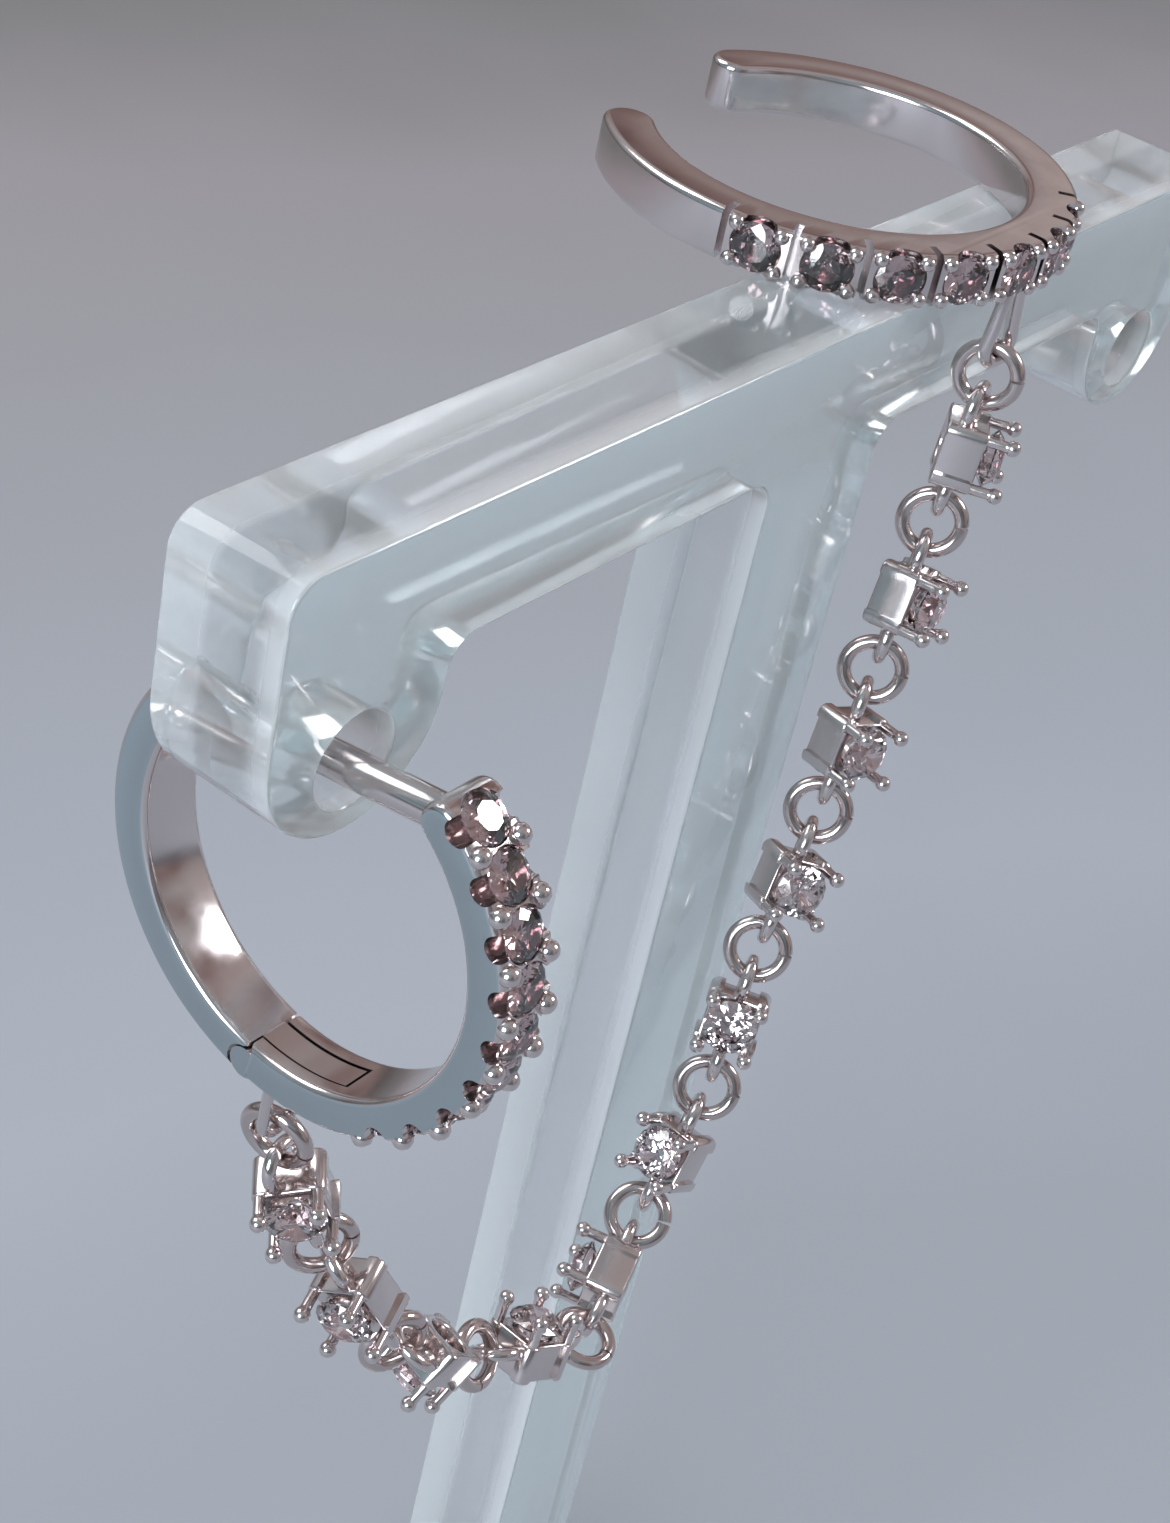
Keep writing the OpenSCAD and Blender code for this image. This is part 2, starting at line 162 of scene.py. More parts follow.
def castAcrylic(name, tint, low, high, milkAndPaintedLightBands):
    # Laser-cut cast acrylic: a soft glassy haze, with its milky white share set in bands through the
    # sheet so one face or rim looks lighter than another, which is painted light
    material, tree = newMaterial(name)
    wave = objectNoise(tree, 3.5, 2)
    bump = addNode(tree, "ShaderNodeBump", {"Height": wave.outputs["Fac"]},
                   {"Strength": 0.04, "Distance": 0.1 * mm})
    haze = objectNoise(tree, 1.6, 4)
    rough = addNode(tree, "ShaderNodeMapRange", {"Value": haze.outputs["Fac"]},
                    {"From Min": 0.35, "From Max": 0.7, "To Min": low, "To Max": high})
    place = addNode(tree, "ShaderNodeTexCoord").outputs["Object"]
    depth = addNode(tree, "ShaderNodeSeparateXYZ", {"Vector": place}).outputs["Y"]
    halfSheet = stand["sheet"] / 2 * mm
    through = addNode(tree, "ShaderNodeMapRange", {"Value": depth},
                      {"From Min": -halfSheet, "From Max": halfSheet})
    # painted light: the milky share by depth through the sheet makes the milkier faces and rims look
    # lit
    clear = rampNode(tree, through.outputs[0], milkAndPaintedLightBands)
    shader = addNode(tree, "ShaderNodeBsdfPrincipled",
                     {"Roughness": rough.outputs[0], "Normal": bump.outputs[0],
                      "Transmission Weight": clear},
                     {"Base Color": srgb(tint), "IOR": 1.49})
    addNode(tree, "ShaderNodeOutputMaterial", {"Surface": shader.outputs[0]})
    return material


def cutZirconia(name, tint):
    # Cubic zirconia, cut and polished: a high index that flashes from every facet
    material, tree = newMaterial(name)
    cloud = objectNoise(tree, 0.5, 2)
    rough = addNode(tree, "ShaderNodeMapRange", {"Value": cloud.outputs["Fac"]},
                    {"From Min": 0.3, "From Max": 0.7, "To Min": 0.0, "To Max": 0.05})
    shader = addNode(tree, "ShaderNodeBsdfPrincipled", {"Roughness": rough.outputs[0]},
                     {"Base Color": srgb(tint), "IOR": 2.15, "Transmission Weight": 1})
    addNode(tree, "ShaderNodeOutputMaterial", {"Surface": shader.outputs[0]})
    return material


silver = polishedRhodium("polishedRhodiumPlate", "#DCD2D1", 0.1, 0.22)
# painted reflection: the teal-grey tint of the hoop's sides stands in for the cool room they reflect;
# its roughness is only a touch higher
sideSilverPaintedReflection = polishedRhodium("paintedReflectionRhodiumSide", "#BAC5C9", 0.12, 0.24)
wireSilver = polishedRhodium("drawnSilverWire", "#CFC2C0", 0.1, 0.22)
# painted light: the sheet's bands make its front face milkier, and the edge and foot copies are milkier
# and whiter still, lighting the top's rims, the cut edges and the shaded foot
acrylic = castAcrylic("castAcrylicSheet", "#F0FAFB", 0.05, 0.13, [(0, 0.7), (1, 0.84)])
acrylicEdgePaintedLight = castAcrylic(
    "paintedLightAcrylicEdge", "#FBFDFE", 0.05, 0.14,
    [(0, 0.56), (0.12, 0.68), (0.22, 0.93), (0.58, 0.93), (0.66, 0.72), (1, 0.66)])
footAcrylicPaintedLight = castAcrylic("paintedLightAcrylicFoot", "#FBFDFE", 0.06, 0.14, [(0, 0.52), (1, 0.56)])
footEdgePaintedLight = castAcrylic("paintedLightFootEdge", "#F6FBFD", 0.06, 0.14, [(0, 0.62), (1, 0.66)])
zirconia = cutZirconia("cutCubicZirconia", "#F2DCDE")
seatStone = cutZirconia("pavedCubicZirconia", "#D9BBBE")
print("materials made")


# mesh helpers


def makeObject(name, mesh, material, smooth=True, sharpAngle=40):
    thing = bpy.data.objects.new(name, mesh)
    bpy.context.scene.collection.objects.link(thing)
    if material:
        mesh.materials.clear()
        mesh.materials.append(material)
    mesh.polygons.foreach_set("use_smooth", [smooth] * len(mesh.polygons))
    if smooth and sharpAngle:
        mesh.set_sharp_from_angle(angle=math.radians(sharpAngle))
    mesh.update()
    return thing


def cleanMesh(mesh, merge=1e-7):
    work = bmesh.new()
    work.from_mesh(mesh)
    bmesh.ops.remove_doubles(work, verts=work.verts, dist=merge)
    bmesh.ops.recalc_face_normals(work, faces=work.faces)
    work.to_mesh(mesh)
    work.free()
    return mesh


def evaluated(thing):
    graph = bpy.context.evaluated_depsgraph_get()
    return bpy.data.meshes.new_from_object(thing.evaluated_get(graph), depsgraph=graph)


def discard(thing):
    bpy.data.objects.remove(thing)


def plateMesh(name, outlines, thickness, edge, edgeSteps=3):
    # A flat sheet cut to its outlines, the first the outside, with softened edges
    curve = bpy.data.curves.new(name, "CURVE")
    curve.dimensions = "2D"
    curve.fill_mode = "BOTH"
    curve.extrude = (thickness / 2 - edge) * mm
    curve.bevel_depth = edge * mm
    curve.bevel_resolution = edgeSteps
    curve.offset = -edge * mm
    for outline in outlines:
        spline = curve.splines.new("POLY")
        spline.points.add(len(outline) - 1)
        for point, (x, y) in zip(spline.points, outline):
            point.co = (x * mm, y * mm, 0, 1)
        spline.use_cyclic_u = True
    thing = bpy.data.objects.new(name, curve)
    bpy.context.scene.collection.objects.link(thing)
    mesh = evaluated(thing)
    discard(thing)
    return cleanMesh(mesh, 2e-6)


def roundedOutline(corners, steps=14):
    # Each corner is x, y and the radius that rounds it
    points = []
    count = len(corners)
    for i, (x, y, radius) in enumerate(corners):
        here = Vector((x, y))
        before = (Vector(corners[i - 1][:2]) - here).normalized()
        after = (Vector(corners[(i + 1) % count][:2]) - here).normalized()
        if radius <= 0:
            points.append((x, y))
            continue
        half = before.angle(after) / 2
        run = radius / math.tan(half)
        start = here + before * run
        middle = here + (before + after).normalized() * (radius / math.sin(half))
        first = start - middle
        turn = (math.pi - 2 * half) * (1 if before.cross(after) < 0 else -1)
        for k in range(steps + 1):
            angle = turn * k / steps
            c, s = math.cos(angle), math.sin(angle)
            points.append((middle.x + first.x * c - first.y * s,
                           middle.y + first.x * s + first.y * c))
    return points


def arcPoints(x, y, radius, start, end, steps):
    return [(x + radius * math.cos(math.radians(start + (end - start) * k / steps)),
             y + radius * math.sin(math.radians(start + (end - start) * k / steps)))
            for k in range(steps + 1)]


def openBand(outer, inner, start, end, roundStart=True, roundEnd=True):
    # Plan of an open band: outer arc, an end, inner arc back, the other end
    middle, half = (outer + inner) / 2, (outer - inner) / 2
    points = arcPoints(0, 0, outer, start, end, 110)
    if roundEnd:
        turn = math.radians(end)
        points += arcPoints(middle * math.cos(turn), middle * math.sin(turn), half,
                            end, end + 180, 20)[1:-1]
    points += arcPoints(0, 0, inner, end, start, 110)
    if roundStart:
        turn = math.radians(start)
        points += arcPoints(middle * math.cos(turn), middle * math.sin(turn), half,
                            start + 180, start + 360, 20)[1:-1]
    return points


def latheMesh(name, profile, sides):
    work = bmesh.new()
    rings = []
    for radius, height in profile:
        if radius < 1e-6:
            rings.append([work.verts.new((0, 0, height * mm))])
        else:
            rings.append([work.verts.new((radius * mm * math.cos(math.tau * k / sides),
                                          radius * mm * math.sin(math.tau * k / sides),
                                          height * mm)) for k in range(sides)])
    for low, high in zip(rings, rings[1:]):
        for k in range(sides):
            n = (k + 1) % sides
            if len(low) == 1:
                work.faces.new((low[0], high[n], high[k]))
            elif len(high) == 1:
                work.faces.new((low[k], low[n], high[0]))
            else:
                work.faces.new((low[k], low[n], high[n], high[k]))
    mesh = bpy.data.meshes.new(name)
    work.to_mesh(mesh)
    work.free()
    return cleanMesh(mesh)


def wireMesh(name, path, wire, sides=14):
    curve = bpy.data.curves.new(name, "CURVE")
    curve.dimensions = "3D"
    curve.bevel_depth = wire / 2 * mm
    curve.bevel_resolution = sides // 2 - 2
    curve.use_fill_caps = True
    spline = curve.splines.new("POLY")
    spline.points.add(len(path) - 1)
    for point, place in zip(spline.points, path):
        point.co = (*(Vector(place) * mm), 1)
    thing = bpy.data.objects.new(name, curve)
    bpy.context.scene.collection.objects.link(thing)
    mesh = evaluated(thing)
    discard(thing)
    return cleanMesh(mesh)


def joinMeshes(name, parts):
    work = bmesh.new()
    for mesh, matrix in parts:
        copy = mesh.copy()
        copy.transform(matrix)
        work.from_mesh(copy)
        bpy.data.meshes.remove(copy)
    joined = bpy.data.meshes.new(name)
    work.to_mesh(joined)
    work.free()
    return joined


def cutAway(mesh, cutters):
    # Takes the joined cutters out of a closed mesh
    body = bpy.data.objects.new("cutBody", mesh)
    tool = bpy.data.objects.new("cutTool", joinMeshes("cutTool", cutters))
    for thing in (body, tool):
        bpy.context.scene.collection.objects.link(thing)
    cut = body.modifiers.new("cut", "BOOLEAN")
    cut.operation, cut.object, cut.solver = "DIFFERENCE", tool, "EXACT"
    cut.use_self = True
    result = evaluated(body)
    discard(body)
    discard(tool)
    return result


def prism(points, low, high):
    work = bmesh.new()
    bottom = [work.verts.new((x * mm, y * mm, low * mm)) for x, y in points]
    top = [work.verts.new((x * mm, y * mm, high * mm)) for x, y in points]
    work.faces.new(bottom[::-1])
    work.faces.new(top)
    count = len(points)
    for k in range(count):
        n = (k + 1) % count
        work.faces.new((bottom[k], bottom[n], top[n], top[k]))
    mesh = bpy.data.meshes.new("prism")
    work.to_mesh(mesh)
    work.free()
    return cleanMesh(mesh)


def moved(x, y, z):
    return Matrix.Translation(Vector((x, y, z)) * mm)


def spun(degrees, axis="Z"):
    return Matrix.Rotation(math.radians(degrees), 4, axis)


def axesMatrix(x, y, z, place):
    return Matrix.LocRotScale(place * mm, Matrix((x, y, z)).transposed(), None)


def brilliantCut(name, radius, crown, depth):
    # Round brilliant: table, stars, kites, upper and lower girdle facets, mains
    table, star, low = radius * 0.56, radius * 0.8, radius * 0.24
    rim = radius * 0.03
    half = math.cos(math.radians(22.5))
    starHeight = rim + (crown - rim) * (radius - star * half) / (radius - table)
    lowHeight = -rim - (depth - rim) * (1 - low * half / radius)

    def ring(r, z, first, count=8):
        return [Vector((r * math.cos(first + math.tau * k / count),
                        r * math.sin(first + math.tau * k / count), z)) for k in range(count)]

    eighth = math.tau / 16
    points = ring(table, crown, 0) + ring(star, starHeight, eighth)
    points += ring(radius, rim, 0, 16) + ring(radius, -rim, 0, 16)
    points += ring(low, lowHeight, eighth) + [Vector((0, 0, -depth))]
    faces = [list(range(8))]
    for k in range(8):
        n, g = (k + 1) % 8, 16 + 2 * k
        h = 16 + (2 * k + 2) % 16
        faces += [[k, 8 + k, n], [k, 8 + (k + 7) % 8, g, 8 + k],
                  [8 + k, g, g + 1], [8 + k, g + 1, h]]
        faces += [[48 + k, g + 17, g + 16], [48 + k, h + 16, g + 17],
                  [56, 48 + k, g + 16, 48 + (k + 7) % 8]]
    faces += [[16 + k, 32 + k, 32 + (k + 1) % 16, 16 + (k + 1) % 16] for k in range(16)]
    mesh = bpy.data.meshes.new(name)
    mesh.from_pydata([p * mm for p in points], [], faces)
    return cleanMesh(mesh)


# One tree places every repeated part: points carry a turn, and each gets the part


def scatterTree():
    tree = bpy.data.node_groups.new("placeParts", "GeometryNodeTree")
    face = tree.interface
    face.new_socket("Geometry", in_out="INPUT", socket_type="NodeSocketGeometry")
    face.new_socket("Part", in_out="INPUT", socket_type="NodeSocketObject")
    face.new_socket("Size", in_out="INPUT", socket_type="NodeSocketFloat").default_value = 1
    face.new_socket("Finish", in_out="INPUT", socket_type="NodeSocketMaterial")
    face.new_socket("Geometry", in_out="OUTPUT", socket_type="NodeSocketGeometry")
    given = addNode(tree, "NodeGroupInput").outputs
    part = addNode(tree, "GeometryNodeObjectInfo", {"Object": given["Part"]})
    turn = addNode(tree, "GeometryNodeInputNamedAttribute", None, {"Name": "turn"},
                   data_type="FLOAT_VECTOR")
    rotation = addNode(tree, "FunctionNodeEulerToRotation", {"Euler": turn.outputs["Attribute"]})
    spots = addNode(tree, "GeometryNodeMeshToPoints", {"Mesh": given["Geometry"]})
    placed = addNode(tree, "GeometryNodeInstanceOnPoints",
                     {"Points": spots.outputs[0], "Instance": part.outputs["Geometry"],
                      "Rotation": rotation.outputs[0], "Scale": given["Size"]})
    real = addNode(tree, "GeometryNodeRealizeInstances", {"Geometry": placed.outputs[0]})
    dressed = addNode(tree, "GeometryNodeSetMaterial",
                      {"Geometry": real.outputs[0], "Material": given["Finish"]})
    addNode(tree, "NodeGroupOutput", {"Geometry": dressed.outputs[0]})
    return tree


placeParts = scatterTree()


def scatter(name, part, places, finish, smooth=True, sharpAngle=40, size=1.0):
    # One plain mesh with the part at each of the places
    points = bpy.data.meshes.new(name + "Points")
    points.from_pydata([m.translation for m in places], [], [])
    turns = points.attributes.new("turn", "FLOAT_VECTOR", "POINT")
    for spot, m in zip(turns.data, places):
        spot.vector = m.to_euler("XYZ")
    host = bpy.data.objects.new(name + "Host", points)
    model = bpy.data.objects.new(name + "Part", part)
    for thing in (host, model):
        bpy.context.scene.collection.objects.link(thing)
    modifier = host.modifiers.new("placeParts", "NODES")
    modifier.node_group = placeParts
    sockets = {item.name: item.identifier for item in placeParts.interface.items_tree
               if item.item_type == "SOCKET" and item.in_out == "INPUT"}
    modifier[sockets["Part"]] = model
    modifier[sockets["Size"]] = size
    modifier[sockets["Finish"]] = finish
    mesh = evaluated(host)
    discard(host)
    discard(model)
    mesh.name = name
    return makeObject(name, mesh, finish, smooth, sharpAngle)


def dressEdges(mesh, axis, finish):
    # The cut edges of a sheet get the second material, a milkier copy whose white paints light on them;
    # its faces lie across the axis
    mesh.materials.append(finish)
    for polygon in mesh.polygons:
        polygon.material_index = int(abs(polygon.normal[axis]) < 0.8)


def finishPiece(thing, body, nodes):
    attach(thing, body)
    if nodes:
        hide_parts(*nodes)
    return thing


# acrylic stand


def buildStand(s):
    high, bar = s["height"], s["barLength"] / 2
    lobe = s["lobeWidth"]
    inner = bar - lobe
    under = high - s["barHeight"]
    low = high - s["lobeDrop"]
    half = s["uprightWidth"] / 2
    lobeRound = lobe / 2 * 0.9999  # a hair under a half circle, so the two arcs don't meet in a point
    right = [
        (half, 0, 0), (half, under, s["innerCorner"]), (inner, under, s["innerCorner"] * 0.98),
        (inner, low, lobeRound), (bar, low, lobeRound), (bar, high, s["topCorner"]),
    ]
    left = [(-x, y, r) for x, y, r in reversed(right)]
    outline = roundedOutline(right + left)
    holeHeight = low + s["holeWall"] + s["holeWidth"] / 2
    holes = [arcPoints(side * (bar - lobe / 2), holeHeight, s["holeWidth"] / 2, 360, 0, 48)[:-1]
             for side in (-1, 1)]
    sheet = plateMesh("standPlate", [outline] + holes, s["sheet"], s["edge"])
    sheet.transform(spun(90, "X"))
    plate = makeObject("standPlate", sheet, acrylic, True, 35)
    dressEdges(sheet, 1, acrylicEdgePaintedLight)
    finishPiece(plate, root, ["stand_plate"])
    x, y, corner = s["baseLength"] / 2, s["baseWidth"] / 2, s["baseCorner"]
    rim = roundedOutline([(-x, -y, corner), (x, -y, corner), (x, y, corner), (-x, y, corner)])
    sx, sy = half + s["slotPlay"], s["sheet"] / 2 + s["slotPlay"]
    slot = [(-sx, -sy), (-sx, sy), (sx, sy), (sx, -sy)]
    foot = plateMesh("standBase", [rim, slot], s["baseThickness"], s["edge"])
    foot.transform(moved(0, 0, s["baseThickness"] / 2))
    base = makeObject("standBase", foot, footAcrylicPaintedLight, True, 35)
    dressEdges(foot, 2, footEdgePaintedLight)
    finishPiece(base, root, ["stand_base"])


buildStand(stand)
print("stand made")


# seats, beads and bails, shared by the cuff and the hoop


def barrel(width, sides):
    # A round cutter, long enough to pass through any band
    return latheMesh("barrel", [(0, -2), (width / 2, -2), (width / 2, 2), (0, 2)], sides)


def seatDrill(s):
    # A stone's pocket: a flat bottom, a slope and a step for the girdle
    ledge, play = 0.03, 0.035
    step, mouth = s["stoneWidth"] / 2 - ledge, s["stoneWidth"] / 2 + play
    floor, slope, rim = s["seat"]
    return latheMesh("drill", [(0, 0), (floor, 0), (step, slope), (mouth, rim), (mouth, 1), (0, 1)], 36)


def beadMesh(width, steps=9, sides=20):
    r = width / 2
    profile = [(r * math.sin(math.pi * k / steps), -r * math.cos(math.pi * k / steps))
               for k in range(steps + 1)]
    return latheMesh("bead", profile, sides)


loopRadius = (chain["ringWire"] + chain["loopWire"]) / 2 + chain["loopPlay"]


def bailPath(leg, spread=loopRadius, steps=22):
    # Up one leg, round the bend below the origin, up the other
    bend = [(loopRadius * math.cos(math.pi + math.pi * k / steps),
             loopRadius * math.sin(math.pi + math.pi * k / steps), 0) for k in range(steps + 1)]
    return [(-spread, leg, 0)] + bend + [(spread, leg, 0)]


# ear cuff


def buildCuff(c):
    outer, inner = c["outer"] / 2, c["bore"] / 2
    high = c["height"]
    place = moved(c["x"], stand["sheet"] / 2 + c["back"], stand["height"] + c["restGap"])
    start = c["gapStart"] + c["gap"]
    plan = openBand(outer, inner, start, 360 + c["gapStart"])
    band = plateMesh("cuffBand", [plan], high, c["edge"], 4)
    band.transform(moved(0, 0, high / 2))
    drill = seatDrill(c)
    turns = [c["firstStone"] + k * c["stoneStep"] for k in range(c["stoneCount"])]
    outward = [spun(turn) @ moved(outer, 0, high / 2) @ spun(90, "Y") for turn in turns]
    notch = barrel(c["sideCut"], 28)
    middle = c["sideCut"] / 2 - c["sideCutDepth"]
    side = [(notch, spun(turn) @ moved(outer + middle, 0, high / 2)) for turn in turns]
    between = [c["firstStone"] + (k - 0.5) * c["stoneStep"] for k in range(c["stoneCount"] + 1)]
    deep, past, halfCut = c["betweenDepth"], 0.4, c["betweenCut"] / 2
    groove = prism([(-deep, -halfCut), (past, -halfCut), (past, halfCut), (-deep, halfCut)], -2, 2)
    side += [(groove, spun(turn) @ moved(outer, 0, high / 2)) for turn in between]
    band = cutAway(band, [(drill, m @ moved(0, 0, -c["pocket"])) for m in outward] + side)
    bail = wireMesh("cuffBail", bailPath(c["bailDrop"] + c["restGap"] + c["bailRoot"], c["bailTop"]),
                    c["bailWire"])
    hang = (spun(c["bailAt"]) @ moved(outer - c["bailInset"], 0, -c["bailDrop"] - c["restGap"])
            @ spun(90, "Z") @ spun(90, "X"))
    band = joinMeshes("cuffBand", [(band, place), (bail, place @ hang)])
    piece = makeObject("cuffBand", band, silver, True, 38)
    finishPiece(piece, root, ["cuff_band"])
    spots = [place @ spun(turn) @ moved(outer - c["beadSink"], y, high / 2 + z)
             for turn in turns for y in (-c["beadAside"], c["beadAside"])
             for z in (-c["beadHeight"], c["beadHeight"])]
    beads = scatter("cuffBeads", beadMesh(c["beadWidth"]), spots, silver, True, 0)
    finishPiece(beads, root, [])
    gem = brilliantCut("cuffGem", c["stoneWidth"] / 2, *c["gem"])
    sunk = moved(0, 0, -c["gemSink"])
    stones = scatter("cuffStones", gem, [place @ m @ sunk for m in outward], seatStone, False)
    finishPiece(stones, root, ["cuff_stones"])


buildCuff(cuff)
print("cuff made")


# hoop, drawn with X to its front, Y up and Z along its axis


def hoopPlace(h, s):
    middle = (h["outer"] + h["bore"]) / 4
    rise = middle * math.sin(math.radians(h["frontEnd"]))
    lean = math.radians(h["lean"])
    # the post hangs low and to one side in the lobe's hole, clear of its wall by the gap
    sink = ((s["holeWidth"] - h["postWidth"]) / 2 - h["postGap"]) * math.sin(math.radians(45))
    run = (rise * math.sin(lean) - s["sheet"] / 2 - h["forward"]) / math.cos(lean)
    lobeX = (s["barLength"] - s["lobeWidth"]) / 2
    holeZ = s["height"] - s["lobeDrop"] + s["holeWall"] + s["holeWidth"] / 2
    return Vector((-lobeX - sink, -h["forward"],
                   holeZ - sink - run * math.sin(lean) - rise * math.cos(lean)))


hoopCentre = hoopPlace(hoop, stand)
hoopMatrix = moved(*hoopCentre) @ spun(-90, "Z") @ spun(90, "X") @ spun(hoop["lean"], "Z")


def sector(outer, inner, start, end, steps=24):
    return arcPoints(0, 0, outer, start, end, steps) + arcPoints(0, 0, inner, end, start, steps)


def dressSides(mesh, h):
    # The hoop's flat sides get a teal-grey copy of the metal, whose tint is a painted reflection
    mesh.materials.append(sideSilverPaintedReflection)
    back = hoopMatrix.inverted()
    for polygon in mesh.polygons:
        level = abs((back @ polygon.center).z) / mm
        flat = abs((back.to_3x3() @ polygon.normal).z) > 0.95
        polygon.material_index = int(flat and level > h["width"] / 2 - 0.05)


def buildHoop(h):
    outer, inner, wide = h["outer"] / 2, h["bore"] / 2, h["width"]
    middle = (outer + inner) / 2
    hinge = h["hingeAt"]
    halfSeam = math.degrees(h["seam"] / 2 / middle)
    pinRadius = outer - h["knuckle"]
    pin = (pinRadius * math.cos(math.radians(hinge)), pinRadius * math.sin(math.radians(hinge)))
    rise = middle * math.sin(math.radians(h["frontEnd"]))
    reach = middle * math.cos(math.radians(h["frontEnd"]))
    tongue = h["tongue"] / 2
    slotHalf = tongue + h["knucklePlay"]
    knuckleCut = h["knuckle"] + h["knucklePlay"]
    identity = Matrix.Identity(4)

    def roundPrism(radius, low, high):
        return prism(arcPoints(*pin, radius, 0, 360, 40)[:-1], low, high)

    # front half: band, pockets, hinge slot, knuckle cheeks, post, bail
    plan = openBand(outer, inner, hinge + halfSeam, h["frontTop"], False, True)
    band = plateMesh("hoopFront", [plan], wide, h["edge"], 3)
    turns = [h["firstStone"] - k * h["stoneStep"] for k in range(h["stoneCount"])]
    outward = [spun(turn) @ moved(outer, 0, 0) @ spun(90, "Y") for turn in turns]
    drill = seatDrill(h)
    slotStart, slotEnd = hinge - 3, hinge + h["tailSpan"] + 1.5  # degrees, past the tail at both ends
    slot = prism(sector(outer - h["tailFloor"], inner - 0.2, slotStart, slotEnd), -slotHalf, slotHalf)
    cutters = [(drill, m @ moved(0, 0, -h["pocket"])) for m in outward]
    notch = barrel(h["sideCut"], 24)
    low = outer + h["sideCut"] / 2 - h["sideCutDepth"]
    cutters += [(notch, spun(turn) @ moved(low, 0, 0)) for turn in turns]
    cutters += [(slot, identity), (roundPrism(knuckleCut, -slotHalf - 0.001, slotHalf + 0.001),
                                   identity)]
    band = cutAway(band, cutters)
    cheekTop = wide / 2 - h["cheekSink"]
    cheek = roundPrism(h["knuckle"], slotHalf, cheekTop)
    r, long = h["postWidth"] / 2, 2 * reach + h["postPast"] - h["postShort"]
    groove = r - h["postGroove"]
    post = latheMesh("post", [(0, 0), (0.24, 0.02), (0.35, 0.12), (r, 0.3), (r, 1.0), (groove, 1.1),
                              (groove, 1.3), (r, 1.4), (r, long), (0, long)], 28)
    along = moved(-reach - h["postPast"], rise, 0) @ spun(90, "Y")
    bail = wireMesh("hoopBail", bailPath(h["bailDrop"] + h["bailRoot"]), chain["loopWire"])
    hang = spun(h["bailAt"]) @ moved(outer + h["bailDrop"], 0, 0) @ spun(90, "X") @ spun(90, "Z")
    front = joinMeshes("hoopFront", [
        (band, hoopMatrix), (cheek, hoopMatrix),
        (cheek, hoopMatrix @ moved(0, 0, -slotHalf - cheekTop)),
        (post, hoopMatrix @ along), (bail, hoopMatrix @ hang)])
    piece = makeObject("hoopFront", front, silver, True, 38)
    dressSides(front, h)
    finishPiece(piece, root, ["hoop_front"])

    # back half: band with the tongue and its tail, and the notch that catches the post
    plan = openBand(outer, inner, 180 - h["frontEnd"], 360 + hinge - halfSeam, True, False)
    band = plateMesh("hoopBack", [plan], wide, h["edge"], 3)
    catch = h["postWidth"] / 2 + h["catchPlay"]
    outside, deep = -outer - 0.3, -reach + h["catchDepth"]  # right across the band's wall
    notch = prism([(outside, rise - catch), (deep, rise - catch), (deep, rise + 2),
                   (outside, rise + 2)], -catch, catch)
    side = roundPrism(knuckleCut, tongue, wide)
    band = cutAway(band, [(notch, identity), (side, identity),
                          (side, moved(0, 0, -tongue - wide))])
    tail = prism(sector(outer - h["tailFloor"] - h["knucklePlay"], inner + 0.02, hinge - 6,
                        hinge + h["tailSpan"]), -tongue, tongue)
    knob = roundPrism(h["knuckle"], -tongue, tongue)
    back = joinMeshes("hoopBack", [(band, hoopMatrix), (tail, hoopMatrix), (knob, hoopMatrix)])
    piece = makeObject("hoopBack", back, silver, True, 38)
    dressSides(back, h)
    finishPiece(piece, backHalf, ["hoop_back"])

    r, end, edge = h["pinWidth"] / 2, wide / 2 - h["pinSink"], h["pinEdge"]
    rod = latheMesh("hingePin", [(0, -end), (r - edge, -end), (r, edge - end), (r, end - edge),
                                 (r - edge, end), (0, end)], 24)
    rod.transform(hoopMatrix @ moved(*pin, 0))
    finishPiece(makeObject("hingePin", rod, wireSilver, True, 38), root, ["hinge_pin"])

    between = [h["firstStone"] - (k + 0.5) * h["stoneStep"] for k in range(h["stoneCount"])]
    spots = [hoopMatrix @ spun(turn) @ moved(outer, 0, side * h["beadSide"])
             for turn in between for side in (-1, 1)]
    beads = scatter("hoopBeads", beadMesh(h["beadWidth"]), spots, silver, True, 0)
    finishPiece(beads, root, [])
    gem = brilliantCut("hoopGem", h["stoneWidth"] / 2, *h["gem"])
    sunk = moved(0, 0, -h["gemSink"])
    stones = scatter("hoopStones", gem, [hoopMatrix @ m @ sunk for m in outward], seatStone, False)
    finishPiece(stones, root, ["hoop_stones"])


buildHoop(hoop)
print("hoop made")


# chain: the same rules as the CAD's, from the route


def across(v, line):
    return v - v.dot(line) * line


def onHoop(radius, angle):
    turn = math.radians(angle + hoop["lean"])
    return Vector((hoopCentre.x, hoopCentre.y - radius * math.cos(turn),
                   hoopCentre.z + radius * math.sin(turn)))


